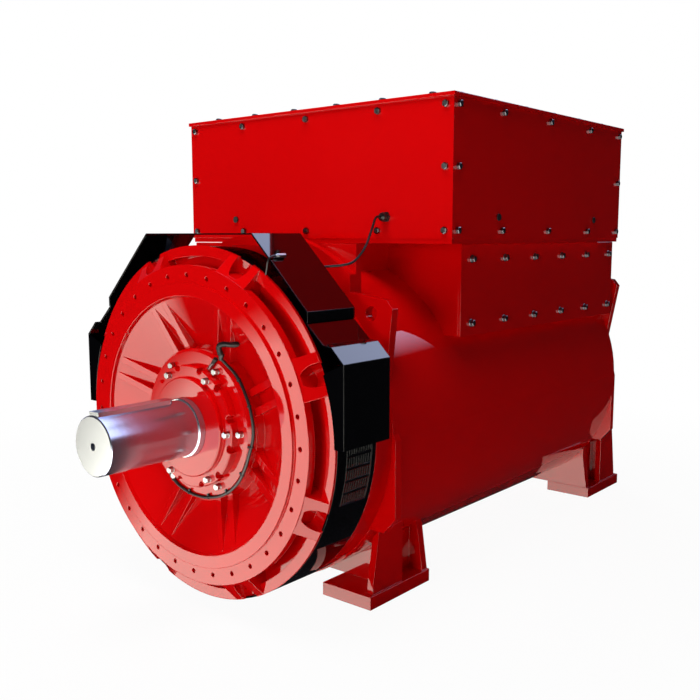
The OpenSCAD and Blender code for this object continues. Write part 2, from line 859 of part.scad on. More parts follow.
// Gland on the front panel: hexagon foot, round body, domed nut
gland_z = box_z + gland_rise;
gland_l = 30;
module box_gland() {
    color(black)
        translate([gland_x, box_s - overall_l / 2, gland_z])
            rotate([90, 0, 0]) {
                cylinder(d = 32, h = 9, $fn = 6);
                cylinder(d = 24, h = 22);
                translate([0, 0, 22]) cylinder(d1 = 24, d2 = 13, h = gland_l - 22);
            }
}

// Lead from the gland down to the hood and along the underside of its slope
function hood_slope_z(x) = shaft_h + hood_top_z - (x - hood_top_x);
module box_lead() {
    run_x = 304;
    hood_end_s = hood_s + hood_l;
    run_z = hood_slope_z(run_x) - (sheet_t + box_lead_d / 2 + seat_gap) * sqrt(2);
    front = box_s - gland_l - seat_gap;
    mid = overall_l / 2;
    pass_x = bridge_x + box_lead_d / 2 + 6;
    drop = [[gland_x, front - mid, gland_z], [gland_x, front - 5 - mid, gland_z], [gland_x, front - 10 - mid, gland_z],
            [gland_x + 2, front - 22 - mid, gland_z - 5], [gland_x + 10, front - 43 - mid, gland_z - 25],
            [gland_x + 21, front - 72 - mid, gland_z - 54], [pass_x, front - 106 - mid, gland_z - 85],
            [pass_x + 1, front - 136 - mid, gland_z - 112], [pass_x - 3, front - 160 - mid, gland_z - 128],
            [pass_x - 14, hood_end_s + 50 - mid, run_z + 4], [run_x + 9, hood_end_s + 28 - mid, run_z + 1],
            [run_x, hood_end_s + 4 - mid, run_z], [run_x, hood_end_s - 20 - mid, run_z],
            [run_x, hood_end_s - 55 - mid, run_z], [run_x, hood_end_s - 90 - mid, run_z]];
    color(black) tube(route(drop, 5), box_lead_d, [1, 0, 0]);
}

// Conduit out of the dish, with an elbow down to the bearing
module hub_conduit() {
    color(black)
        tube(route([hub_point(294, 34, dish_s - 39.3), hub_point(294, 34, dish_s - 52), hub_point(292, 33.4, dish_s - 62),
                    hub_point(284, 30.5, dish_s - 71), hub_point(272, 28.5, dish_s - 74), hub_point(256, 28.6, dish_s - 68),
                    hub_point(242, 29.5, dish_s - 58)], 3), conduit_d, [1, 0, -0.5]);
}

// Lead round the bearing: on the cartridge's rim, over its edge, then on its face
module hub_lead() {
    lift = hub_lead_d / 2 + seat_gap;
    rim_at = cartridge_d / 2 + lift;
    rim_sit = cartridge_s + 10;
    face_s = cartridge_s - lift;
    edge_r = cartridge_d / 2 - 4 + lift * 0.71;
    edge_s = cartridge_s + 4 - lift * 0.71;
    color(black)
        tube(route([hub_point(rim_at + 9, 30, rim_sit - 16), hub_point(rim_at + 2, 36, rim_sit - 6), hub_point(rim_at + 1, 46, rim_sit),
                    hub_point(rim_at, 60, rim_sit), hub_point(rim_at, 76, rim_sit), hub_point(rim_at, 90, rim_sit - 1),
                    hub_point(edge_r + 2.5, 104, edge_s + 1), hub_point(edge_r + 1.5, 118, edge_s - 1),
                    hub_point(edge_r + 0.5, 132, edge_s - 1), hub_point(edge_r - 3, 146, face_s - 0.5),
                    hub_point(edge_r - 10, 162, face_s), hub_point(edge_r - 13, 178, face_s), hub_point(edge_r - 14, 194, face_s),
                    hub_point(edge_r - 15, 208, face_s), hub_point(edge_r - 22, 217, face_s),
                    hub_point(edge_r - 34, 223, face_s)], 4), hub_lead_d, [0, 1, 0]);
}

// Speed sensor: knurled body on the cartridge's face, pointing at the cap's rim
module speed_sensor() {
    sit_s = cartridge_s - sensor_d / 2 - seat_gap;
    color(steel)
        tube(route([hub_point(cap_d / 2 + 4, 21.5, sit_s), hub_point(cap_d / 2 + 22, 23.5, sit_s),
                    hub_point(cap_d / 2 + 46, 26, sit_s - 2)], 3), sensor_d, [0, 1, 0]);
}

// Connector that lies on the right slope of the upper hood, and its lead over the hood's front edge
connector_d = 12;
connector_x = 291;
connector_s = hood_s + 54;
module hood_connector() {
    lift = (connector_d / 2 + seat_gap) * sqrt(2);
    color(steel)
        translate([connector_x, connector_s - overall_l / 2, hood_slope_z(connector_x) + lift])
            rotate([90, 0, 0]) {
                cylinder(d = connector_d, h = 26);
                translate([0, 0, 26]) cylinder(d1 = connector_d, d2 = hood_lead_d, h = 8);
            }
}

module hood_lead() {
    lift = (hood_lead_d / 2 + seat_gap) * sqrt(2);
    con_lift = (connector_d / 2 + seat_gap) * sqrt(2);
    top_z = hood_slope_z(connector_x);
    mid = overall_l / 2;
    end_s = connector_s - 34 - seat_gap;
    color(black)
        tube(route([[connector_x, end_s - mid, top_z + con_lift], [connector_x, end_s - 3 - mid, top_z + con_lift],
                    [connector_x, end_s - 6 - mid, top_z + con_lift], [connector_x, hood_s - 1 - mid, top_z + lift], [connector_x - 2, hood_s - 7 - mid, top_z - 6],
                    [connector_x - 6, hood_s - 6 - mid, top_z - 22], [connector_x - 12, hood_s - 5 - mid, top_z - 40]], 4),
             hood_lead_d, [1, 0, 0]);
}

shaft();
shaft_key();
bearing_cap();
bearing_cartridge();
drive_end_bracket();
outlet_band();
right_outlet_grille();
left_outlet_grille();
upper_hood();
right_hood();
left_hood();
frame_barrel();
front_lifting_plate();
rear_end_plate();
front_right_foot();
front_left_foot();
rear_right_foot();
rear_left_foot();
front_bridge();
saddle_frame();
right_side_cover();
left_side_cover();
box_floor();
box_front_panel();
box_rear_panel();
box_right_panel();
box_left_panel();
box_lid();
rear_bracket();
inlet_housing();
rear_bearing_cover();
box_gland();
box_lead();
hub_conduit();
hub_lead();
speed_sensor();
hood_connector();
hood_lead();
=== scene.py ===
# Industrial alternator in a plain studio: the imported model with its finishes, fasteners and small fittings.
import bpy
import math
from mathutils import Matrix, Vector
from mathutils.geometry import interpolate_bezier


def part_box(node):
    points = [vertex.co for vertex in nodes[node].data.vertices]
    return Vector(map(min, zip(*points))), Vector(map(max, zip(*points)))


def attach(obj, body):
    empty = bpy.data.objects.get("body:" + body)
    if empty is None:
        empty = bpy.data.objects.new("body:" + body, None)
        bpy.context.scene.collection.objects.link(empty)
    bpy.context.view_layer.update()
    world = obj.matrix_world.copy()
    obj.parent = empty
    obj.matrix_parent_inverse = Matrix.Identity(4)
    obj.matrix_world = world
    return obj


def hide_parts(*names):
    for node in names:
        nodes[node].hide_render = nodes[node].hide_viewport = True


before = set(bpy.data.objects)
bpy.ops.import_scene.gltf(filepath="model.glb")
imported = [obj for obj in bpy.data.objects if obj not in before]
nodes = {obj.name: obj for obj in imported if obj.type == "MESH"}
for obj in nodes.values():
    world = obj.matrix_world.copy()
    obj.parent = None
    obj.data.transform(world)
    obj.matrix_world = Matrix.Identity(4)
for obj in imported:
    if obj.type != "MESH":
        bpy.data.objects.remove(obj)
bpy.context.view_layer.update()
bpy.context.scene.view_settings.view_transform = "Standard"
bpy.ops.object.select_all(action="DESELECT")

# Camera: at chest height, turned to see the drive end and the right side.
# A short telephoto view, so that the barrel narrows only gently towards the rear.
camera_tilt = math.radians(82.549)
camera_turn = math.radians(39.95)
bpy.ops.object.camera_add(location=(1.9068, -2.444, 1.0792), rotation=(camera_tilt, 0, camera_turn))
camera = bpy.context.object
camera.name = "camera"
camera.data.sensor_width = 36
camera.data.lens = 45.07
bpy.context.scene.camera = camera

# Floor: a wide pale sheet that the soles stand on, white to the eye and keeping a faint shadow.
# The paint doesn't mirror it: the studio below gives all reflections.
floor_gap = 0.0006
shadow_near = 1.0
shadow_far = 3.0
bpy.ops.mesh.primitive_plane_add(size=60, location=(0, 0, -floor_gap))
floor = bpy.context.object
floor.name = "floor"
pale = bpy.data.materials.new("pale_floor")
pale.use_nodes = True
tree = pale.node_tree
tree.nodes.clear()
out = tree.nodes.new("ShaderNodeOutputMaterial")
mix = tree.nodes.new("ShaderNodeMixShader")
matt = tree.nodes.new("ShaderNodeBsdfDiffuse")
matt.inputs["Color"].default_value = (0.82, 0.82, 0.82, 1)
glow = tree.nodes.new("ShaderNodeEmission")
path = tree.nodes.new("ShaderNodeLightPath")
spot = tree.nodes.new("ShaderNodeTexCoord")
distance = tree.nodes.new("ShaderNodeVectorMath")
distance.operation = "LENGTH"
far = tree.nodes.new("ShaderNodeMapRange")
far.inputs["From Min"].default_value = shadow_near
far.inputs["From Max"].default_value = shadow_far
far.inputs["To Min"].default_value = 0.95
far.inputs["To Max"].default_value = 1.0
share = tree.nodes.new("ShaderNodeMath")
share.operation = "MULTIPLY"
tree.links.new(spot.outputs["Object"], distance.inputs[0])
tree.links.new(distance.outputs["Value"], far.inputs["Value"])
tree.links.new(path.outputs["Is Camera Ray"], share.inputs[0])
tree.links.new(far.outputs["Result"], share.inputs[1])
tree.links.new(share.outputs[0], mix.inputs["Fac"])
tree.links.new(matt.outputs[0], mix.inputs[1])
tree.links.new(glow.outputs[0], mix.inputs[2])
tree.links.new(mix.outputs[0], out.inputs["Surface"])
floor.data.materials.append(pale)
floor.visible_glossy = False

# Studio: white to the camera, soft and dim as light, and a dark room for reflections.
# A bright card leans low ahead of the drive end, and a pale sky stands high behind the machine.
# Wide soft lamps stand in front, overhead and behind on the left.
card_colour = (4.5, 4.4, 3.9, 1)
sky_colour = (2.3, 2.6, 3.8, 1)
haze_colour = (0.43, 0.50, 0.83, 1)
room_colour = (0.010, 0.010, 0.012, 1)
ambient_colour = (0.056, 0.056, 0.060, 1)
world = bpy.data.worlds.new("studio")
bpy.context.scene.world = world
world.use_nodes = True
tree = world.node_tree
tree.nodes.clear()
out = tree.nodes.new("ShaderNodeOutputWorld")
path = tree.nodes.new("ShaderNodeLightPath")
spot = tree.nodes.new("ShaderNodeTexCoord")
axes = tree.nodes.new("ShaderNodeSeparateXYZ")
tree.links.new(spot.outputs["Generated"], axes.inputs[0])
rightward = axes.outputs["X"]
rearward = axes.outputs["Y"]
upward = axes.outputs["Z"]


def edge_of(value, start, end):
    # Soft edge of a bright area: 0 at the start and 1 at the end.
    edge = tree.nodes.new("ShaderNodeMapRange")
    edge.inputs["From Min"].default_value = start
    edge.inputs["From Max"].default_value = end
    tree.links.new(value, edge.inputs["Value"])
    return edge.outputs["Result"]


def joined(operation, first, second):
    # Two values, or a value and a number, joined by one step of arithmetic.
    step = tree.nodes.new("ShaderNodeMath")
    step.operation = operation
    for socket, value in zip(step.inputs, (first, second)):
        if isinstance(value, (int, float)):
            socket.default_value = value
        else:
            tree.links.new(value, socket)
    return step.outputs[0]


left = joined("MULTIPLY", rightward, -1)
drop = joined("MULTIPLY", upward, -0.867)
tilt = joined("MULTIPLY", rightward, -0.89)
card = edge_of(upward, -0.05, -0.13)
for side in (edge_of(rearward, -0.05, -0.25),
             edge_of(left, 0.79, 0.76),
             edge_of(joined("ADD", left, drop), 1.23, 1.12),
             edge_of(joined("ADD", upward, tilt), 0.56, 0.50)):
    card = joined("MULTIPLY", card, side)
behind = edge_of(rearward, 0.05, 0.35)
sky = joined("MULTIPLY", behind, edge_of(upward, 0.38, 0.52))
haze = joined("MULTIPLY", behind, edge_of(left, 0.35, 0.60))
haze = joined("MULTIPLY", haze, edge_of(upward, -0.02, 0.03))
shade = room_colour
for mask, bright in ((haze, haze_colour), (sky, sky_colour), (card, card_colour)):
    tone = tree.nodes.new("ShaderNodeMix")
    tone.data_type = "RGBA"
    tone.inputs["B"].default_value = bright
    tree.links.new(mask, tone.inputs["Factor"])
    if isinstance(shade, tuple):
        tone.inputs["A"].default_value = shade
    else:
        tree.links.new(shade, tone.inputs["A"])
    shade = tone.outputs["Result"]
reflected = tree.nodes.new("ShaderNodeBackground")
tree.links.new(shade, reflected.inputs["Color"])
ambient = tree.nodes.new("ShaderNodeBackground")
ambient.inputs["Color"].default_value = ambient_colour
white = tree.nodes.new("ShaderNodeBackground")
white.inputs["Color"].default_value = (1, 1, 1, 1)
for_gloss = tree.nodes.new("ShaderNodeMixShader")
tree.links.new(path.outputs["Is Glossy Ray"], for_gloss.inputs["Fac"])
tree.links.new(ambient.outputs[0], for_gloss.inputs[1])
tree.links.new(reflected.outputs[0], for_gloss.inputs[2])
for_camera = tree.nodes.new("ShaderNodeMixShader")
tree.links.new(path.outputs["Is Camera Ray"], for_camera.inputs["Fac"])
tree.links.new(for_gloss.outputs[0], for_camera.inputs[1])
tree.links.new(white.outputs[0], for_camera.inputs[2])
tree.links.new(for_camera.outputs[0], out.inputs["Surface"])
for name, place, aim, width, height, watts in (
        ("front_left_lamp", (-2.0, -4.4, 1.5), (0, -0.6, 0.6), 2.4, 2.0, 52),
        ("front_right_lamp", (1.3, -4.8, 1.2), (0.3, -0.5, 0.8), 1.6, 1.2, 60),
        ("overhead_lamp", (0.5, -1.7, 4.5), (0.2, -0.5, 0.8), 2.0, 2.0, 125),
        ("back_left_lamp", (-3.6, 3.4, 2.6), (0, 0.3, 0.7), 2.4, 2.0, 110)):
    bpy.ops.object.light_add(type="AREA", location=place)
    lamp = bpy.context.object
    lamp.name = name
    lamp.data.shape = "RECTANGLE"
    lamp.data.size = width
    lamp.data.size_y = height
    lamp.data.energy = watts
    lamp.rotation_euler = (Vector(aim) - Vector(place)).to_track_quat("-Z", "Y").to_euler()
    lamp.visible_glossy = False

# Shaft and key: turned and ground steel, bright, with the fine lines that the lathe leaves round it.
# The flat faces that look ahead take a near-white colour, a painted highlight for the bright shaft end.
shaft_height = 0.544
line_density = 260
dark_steel = (0.46, 0.48, 0.60, 1)
light_steel = (0.54, 0.56, 0.68, 1)
# Near-white colour of the painted highlight on the faces that look ahead.
end_highlight_colour = (0.96, 0.98, 1.0, 1)
steel = bpy.data.materials.new("ground_steel")
steel.use_nodes = True
tree = steel.node_tree
skin = tree.nodes["Principled BSDF"]
skin.inputs["Metallic"].default_value = 0.90
spot = tree.nodes.new("ShaderNodeTexCoord")
stretch = tree.nodes.new("ShaderNodeMapping")
stretch.inputs["Location"].default_value = (0, 0, -shaft_height)
stretch.inputs["Scale"].default_value = (1, line_density, 1)
lines = tree.nodes.new("ShaderNodeTexNoise")
lines.inputs["Scale"].default_value = 4.0
lines.inputs["Detail"].default_value = 6.0
tone = tree.nodes.new("ShaderNodeValToRGB")
tone.color_ramp.elements[0].position = 0.3
tone.color_ramp.elements[0].color = dark_steel
tone.color_ramp.elements[1].position = 0.7
tone.color_ramp.elements[1].color = light_steel
rough = tree.nodes.new("ShaderNodeMapRange")
rough.inputs["To Min"].default_value = 0.17
rough.inputs["To Max"].default_value = 0.25
ridge = tree.nodes.new("ShaderNodeBump")
ridge.inputs["Strength"].default_value = 0.05
ridge.inputs["Distance"].default_value = 0.0003
# Painted highlight: faces that look ahead are coloured near white instead of the lathe-lined tone.
facing = tree.nodes.new("ShaderNodeSeparateXYZ")
flat = tree.nodes.new("ShaderNodeMapRange")
flat.inputs["From Min"].default_value = -0.90
flat.inputs["From Max"].default_value = -0.97
faces = tree.nodes.new("ShaderNodeMix")
faces.data_type = "RGBA"
faces.inputs["B"].default_value = end_highlight_colour
tree.links.new(spot.outputs["Object"], stretch.inputs["Vector"])
tree.links.new(stretch.outputs["Vector"], lines.inputs["Vector"])
tree.links.new(lines.outputs["Fac"], tone.inputs["Fac"])
tree.links.new(spot.outputs["Normal"], facing.inputs[0])
tree.links.new(facing.outputs["Y"], flat.inputs["Value"])
tree.links.new(flat.outputs["Result"], faces.inputs["Factor"])
tree.links.new(tone.outputs["Color"], faces.inputs["A"])
tree.links.new(faces.outputs["Result"], skin.inputs["Base Color"])
tree.links.new(lines.outputs["Fac"], rough.inputs["Value"])
tree.links.new(rough.outputs["Result"], skin.inputs["Roughness"])
tree.links.new(lines.outputs["Fac"], ridge.inputs["Height"])
tree.links.new(ridge.outputs["Normal"], skin.inputs["Normal"])


def finish_node(name, material):
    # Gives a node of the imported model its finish, in place of its plain colour.
    node = nodes[name]
    node.data.materials.clear()
    node.data.materials.append(material)


finish_node("shaft", steel)
finish_node("shaft_key", steel)

# Drive-end bracket: a ribbed iron casting, machined on its faces and sprayed with glossy red enamel.
# The enamel has a faint orange peel, a slow change of tone and a clear, sharp gloss.
red = (0.66, 0.001, 0.002, 1)
deep_red = (0.60, 0.001, 0.0015, 1)
edge_radius = 0.003
peel = bpy.data.node_groups.new("enamel_peel", "ShaderNodeTree")
for name, kind in (("Colour", "NodeSocketColor"), ("Deep colour", "NodeSocketColor"),
                   ("Peel height", "NodeSocketFloat"), ("Smooth", "NodeSocketFloat"),
                   ("Dull", "NodeSocketFloat")):
    peel.interface.new_socket(name, in_out="INPUT", socket_type=kind)
for name, kind in (("Colour", "NodeSocketColor"), ("Roughness", "NodeSocketFloat"),
                   ("Normal", "NodeSocketVector")):
    peel.interface.new_socket(name, in_out="OUTPUT", socket_type=kind)
given = peel.nodes.new("NodeGroupInput")
result = peel.nodes.new("NodeGroupOutput")
spot = peel.nodes.new("ShaderNodeTexCoord")
cloud = peel.nodes.new("ShaderNodeTexNoise")
cloud.inputs["Scale"].default_value = 3.5
cloud.inputs["Detail"].default_value = 4.0
grain = peel.nodes.new("ShaderNodeTexNoise")
grain.inputs["Scale"].default_value = 260.0
grain.inputs["Detail"].default_value = 2.0
tint = peel.nodes.new("ShaderNodeMix")
tint.data_type = "RGBA"
rough = peel.nodes.new("ShaderNodeMapRange")
bumps = peel.nodes.new("ShaderNodeBump")
bumps.inputs["Distance"].default_value = 0.0006
peel.links.new(spot.outputs["Object"], cloud.inputs["Vector"])
peel.links.new(spot.outputs["Object"], grain.inputs["Vector"])
peel.links.new(cloud.outputs["Fac"], tint.inputs["Factor"])
peel.links.new(given.outputs["Deep colour"], tint.inputs["A"])
peel.links.new(given.outputs["Colour"], tint.inputs["B"])
peel.links.new(cloud.outputs["Fac"], rough.inputs["Value"])
peel.links.new(given.outputs["Smooth"], rough.inputs["To Min"])
peel.links.new(given.outputs["Dull"], rough.inputs["To Max"])
peel.links.new(grain.outputs["Fac"], bumps.inputs["Height"])
peel.links.new(given.outputs["Peel height"], bumps.inputs["Strength"])
peel.links.new(tint.outputs["Result"], result.inputs["Colour"])
peel.links.new(rough.outputs["Result"], result.inputs["Roughness"])
peel.links.new(bumps.outputs["Normal"], result.inputs["Normal"])


def enamel(name, colour, deep_colour, peel_height, smooth, dull, coat_roughness, coat_ior):
    # Enamel under a clear coat, whose light runs softly over the edges, as if they were eased.
    paint = bpy.data.materials.new(name)
    paint.use_nodes = True
    tree = paint.node_tree
    skin = tree.nodes["Principled BSDF"]
    skin.inputs["Specular IOR Level"].default_value = 0.0
    skin.inputs["Coat Weight"].default_value = 1.0
    skin.inputs["Coat Roughness"].default_value = coat_roughness
    skin.inputs["Coat IOR"].default_value = coat_ior
    layer = tree.nodes.new("ShaderNodeGroup")
    layer.node_tree = peel
    for socket, value in (("Colour", colour), ("Deep colour", deep_colour), ("Peel height", peel_height),
                          ("Smooth", smooth), ("Dull", dull)):
        layer.inputs[socket].default_value = value
    tree.links.new(layer.outputs["Colour"], skin.inputs["Base Color"])
    tree.links.new(layer.outputs["Roughness"], skin.inputs["Roughness"])
    tree.links.new(layer.outputs["Normal"], skin.inputs["Normal"])
    eased = tree.nodes.new("ShaderNodeBevel")
    eased.samples = 4
    eased.inputs["Radius"].default_value = edge_radius
    tree.links.new(eased.outputs["Normal"], skin.inputs["Coat Normal"])
    return paint


cast_red = enamel("red_enamel_cast", red, deep_red, peel_height=0.06, smooth=0.38, dull=0.50,
                  coat_roughness=0.03, coat_ior=1.5)
finish_node("drive_end_bracket", cast_red)

# Bearing cap and cartridge: turned iron rings, bolted one on the other, in the same red enamel.
# Six zinc-plated hexagon bolts hold each ring, in line on the same rays.
finish_node("bearing_cap", cast_red)
finish_node("bearing_cartridge", cast_red)


def mottled(name, grain, dark, light, smooth, dull, metallic):
    # A plain surface with fine marks in its colour and in its gloss.
    surface = bpy.data.materials.new(name)
    surface.use_nodes = True
    tree = surface.node_tree
    skin = tree.nodes["Principled BSDF"]
    skin.inputs["Metallic"].default_value = metallic
    spot = tree.nodes.new("ShaderNodeTexCoord")
    marks = tree.nodes.new("ShaderNodeTexNoise")
    marks.inputs["Scale"].default_value = grain
    tone = tree.nodes.new("ShaderNodeValToRGB")
    tone.color_ramp.elements[0].color = dark
    tone.color_ramp.elements[1].color = light
    rough = tree.nodes.new("ShaderNodeMapRange")
    rough.inputs["To Min"].default_value = smooth
    rough.inputs["To Max"].default_value = dull
    tree.links.new(spot.outputs["Object"], marks.inputs["Vector"])
    tree.links.new(marks.outputs["Fac"], tone.inputs["Fac"])
    tree.links.new(tone.outputs["Color"], skin.inputs["Base Color"])
    tree.links.new(marks.outputs["Fac"], rough.inputs["Value"])
    tree.links.new(rough.outputs["Result"], skin.inputs["Roughness"])
    return surface


def ease_edges(piece, width, segments):
    # Rounds the edges of the piece, which has to be the active one.
    edge = piece.modifiers.new("edge", "BEVEL")
    edge.width = width
    edge.segments = segments
    bpy.ops.object.modifier_apply(modifier="edge")


def hex_bolt(name, metal, across_flats, head_h, washer_d, washer_h):
    # A hexagon head with its crown corners cut back, on a flat washer with a rounded edge.
    crown_inset = across_flats * 0.09
    crown_rise = head_h * 0.16
    bpy.ops.object.select_all(action="DESELECT")
    bpy.ops.mesh.primitive_cylinder_add(vertices=6, radius=across_flats / math.sqrt(3), depth=head_h,
                                        location=(0, 0, washer_h + head_h / 2))
    head = bpy.context.object
    bpy.ops.object.mode_set(mode="EDIT")
    bpy.ops.mesh.select_all(action="DESELECT")
    bpy.ops.object.mode_set(mode="OBJECT")
    for face in head.data.polygons:
        face.select = face.normal.z > 0.9
    bpy.ops.object.mode_set(mode="EDIT")
    bpy.ops.mesh.inset(thickness=crown_inset)
    bpy.ops.transform.translate(value=(0, 0, crown_rise))
    bpy.ops.object.mode_set(mode="OBJECT")
    bpy.ops.mesh.primitive_cylinder_add(vertices=24, radius=washer_d / 2, depth=washer_h,
                                        location=(0, 0, washer_h / 2))
    washer = bpy.context.object
    ease_edges(washer, width=washer_h * 0.3, segments=1)
    head.select_set(True)
    bpy.context.view_layer.objects.active = washer
    bpy.ops.object.join()
    bolt = bpy.context.object
    bolt.name = name
    bpy.ops.object.transform_apply(location=True, rotation=True, scale=True)
    bolt.data.materials.append(metal)
    return bolt


def set_out(pattern, name, body, places):
    # One copy of the pattern at each place, given as a point and the way it looks, joined as one set.
    copies = []
    for point, outward in places:
        bpy.ops.object.select_all(action="DESELECT")
        pattern.select_set(True)
        bpy.context.view_layer.objects.active = pattern
        bpy.ops.object.duplicate(linked=False)
        copy = bpy.context.object
        turn = Vector((0, 0, 1)).rotation_difference(Vector(outward))
        copy.data.transform(Matrix.Translation(Vector(point)) @ turn.to_matrix().to_4x4())
        copies.append(copy)
    bpy.ops.object.select_all(action="DESELECT")
    for copy in copies:
        copy.select_set(True)
    bpy.context.view_layer.objects.active = copies[0]
    bpy.ops.object.join()
    row = bpy.context.object
    row.name = name
    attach(row, body)


front_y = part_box("shaft")[0].y


def on_ray(radius, angle, station):
    # A point round the shaft: its radius, its angle from the top, and how far behind the shaft's end.
    turn = math.radians(angle)
    return (radius * math.sin(turn), front_y + station, shaft_height + radius * math.cos(turn))


zinc = mottled("zinc_plate", grain=120.0, dark=(0.34, 0.35, 0.36, 1), light=(0.62, 0.63, 0.64, 1),
               smooth=0.22, dull=0.42, metallic=1.0)
hub_bolt = hex_bolt("hub_bolt", zinc, across_flats=0.017, head_h=0.012, washer_d=0.019, washer_h=0.002)
cap_step = 0.013
cap_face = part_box("bearing_cap")[0].y - front_y + cap_step
cartridge_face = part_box("bearing_cartridge")[0].y - front_y
rays = [30 + 60 * i for i in range(6)]
for name, circle_r, face in (("cap_bolts", 0.160, cap_face), ("cartridge_bolts", 0.1875, cartridge_face)):
    set_out(hub_bolt, name, "housing",
            [(on_ray(circle_r, ray, face), (0, -1, 0)) for ray in rays])
bpy.data.objects.remove(hub_bolt)

# Leads on the bearing: a ribbed elbow of conduit out of the dish, and a lead tied round the cartridge.
# They are satin black plastic, slightly marked. Narrow nylon ties hold the lead to the ring,
# a boot closes the conduit's end, and a sleeve covers the top of the plated speed sensor.
plastic = mottled("satin_plastic", grain=300.0, dark=(0.004, 0.004, 0.0045, 1),
                  light=(0.012, 0.012, 0.013, 1), smooth=0.30, dull=0.48, metallic=0.0)
span_steps = 10


def smooth_lead(name, node, route, diameter):
    # A round tube on one smooth line through the points of the route.
    bpy.ops.object.select_all(action="DESELECT")
    bpy.ops.curve.primitive_bezier_curve_add(location=(0, 0, 0))
    lead = bpy.context.object
    lead.name = name
    line = lead.data.splines[0]
    line.bezier_points.add(len(route) - 2)
    for knot, point in zip(line.bezier_points, route):
        knot.co = point
        knot.handle_left_type = "AUTO"
        knot.handle_right_type = "AUTO"
    lead.data.resolution_u = span_steps
    line.resolution_u = span_steps
    lead.data.bevel_depth = diameter / 2
    lead.data.bevel_resolution = 4
    lead.data.use_fill_caps = True
    lead.data.materials.append(plastic)
    bpy.context.view_layer.update()
    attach(lead, "housing")
    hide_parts(node)
    return lead


def along(lead, shares):
    # Points of the lead's line at the given shares of it, each with the way that the line runs there.
    knots = lead.data.splines[0].bezier_points
    track = []
    for start, end in zip(knots, knots[1:]):
        span = interpolate_bezier(start.co, start.handle_right, end.handle_left, end.co, span_steps + 1)
        track += span[:-1]
    track.append(knots[-1].co.copy())
    found = []
    for share in shares:
        i = min(max(round(share * (len(track) - 1)), 1), len(track) - 2)
        found.append((track[i], (track[i + 1] - track[i - 1]).normalized()))
    return found


conduit_d = 0.0142
conduit_route = [on_ray(0.294, 34, 0.3527), on_ray(0.294, 34, 0.340), on_ray(0.292, 33.4, 0.330),
                 on_ray(0.284, 30.5, 0.321), on_ray(0.272, 28.5, 0.318), on_ray(0.256, 28.6, 0.324),
                 on_ray(0.242, 29.5, 0.334)]
conduit = smooth_lead("hub_conduit_hose", "hub_conduit", conduit_route, conduit_d)
bpy.ops.mesh.primitive_torus_add(major_radius=conduit_d / 2, minor_radius=0.0010, major_segments=24,
                                 minor_segments=6)
rib = bpy.context.object
rib.data.materials.append(plastic)
rib_shares = [0.06 + 0.88 * i / 23 for i in range(24)]
set_out(rib, "conduit_ribs", "housing", along(conduit, rib_shares))
bpy.data.objects.remove(rib)

hub_lead_d = 0.009
hub_route = [on_ray(0.2328, 30, 0.334), on_ray(0.2258, 36, 0.344), on_ray(0.2248, 46, 0.350),
             on_ray(0.2238, 60, 0.350), on_ray(0.2238, 76, 0.350), on_ray(0.2238, 90, 0.349),
             on_ray(0.2209, 104, 0.3416), on_ray(0.2199, 118, 0.3396), on_ray(0.2189, 132, 0.3396),
             on_ray(0.2154, 146, 0.3347), on_ray(0.2084, 162, 0.3352), on_ray(0.2054, 178, 0.3352),
             on_ray(0.2044, 194, 0.3352), on_ray(0.2034, 208, 0.3352), on_ray(0.1964, 217, 0.3352),
             on_ray(0.1844, 223, 0.3352)]
hub_lead = smooth_lead("hub_lead_tube", "hub_lead", hub_route, hub_lead_d)
bpy.ops.mesh.primitive_cylinder_add(vertices=20, radius=0.0060, depth=0.0045)
tie = bpy.context.object
bpy.ops.mesh.primitive_cube_add(size=0.0065, location=(0.0075, 0, 0))
tie.select_set(True)
bpy.context.view_layer.objects.active = tie
bpy.ops.object.join()
ease_edges(tie, width=0.0007, segments=2)
tie.data.materials.append(plastic)
tie_shares = (0.15, 0.24, 0.37, 0.48, 0.59, 0.68, 0.78, 0.88)
set_out(tie, "hub_lead_ties", "housing", along(hub_lead, tie_shares))
bpy.data.objects.remove(tie)

bpy.ops.object.select_all(action="DESELECT")
bpy.ops.mesh.primitive_cone_add(vertices=24, radius1=0.0086, radius2=0.0056, depth=0.019,
                                location=(0, 0, 0))
boot = bpy.context.object
ease_edges(boot, width=0.0012, segments=2)
bpy.ops.object.shade_smooth_by_angle(angle=math.radians(35))
boot.data.materials.append(plastic)
boot_from = Vector(conduit_route[-1])
boot_to = Vector(hub_route[0])
set_out(boot, "conduit_boot", "housing",
        [((boot_from + boot_to) / 2, boot_to - boot_from)])
sensor_mid = Vector(on_ray(0.203, 24.2, 0.3331))
sensor_top = Vector(on_ray(0.2225, 26.2, 0.3322))
sleeve_from_boot = Matrix.Diagonal((0.82, 0.82, 1.15, 1))
boot.data.transform(sleeve_from_boot)
set_out(boot, "sensor_sleeve", "housing",
        [((sensor_mid + sensor_top) / 2, sensor_mid - sensor_top)])
bpy.data.objects.remove(boot)
finish_node("speed_sensor", zinc)

# Air-outlet band, its grilles and the three hoods: steel sheet, folded on a press, in glossy black enamel.
# Slopes and sides shine. Faces that look ahead stay dull, because other parts stand close before them.
black = (0.002, 0.002, 0.0025, 1)
deep_black = (0.001, 0.001, 0.0015, 1)
sheet_black = enamel("black_enamel", black, deep_black, peel_height=0.03, smooth=0.35, dull=0.5,
                     coat_roughness=0.04, coat_ior=1.62)


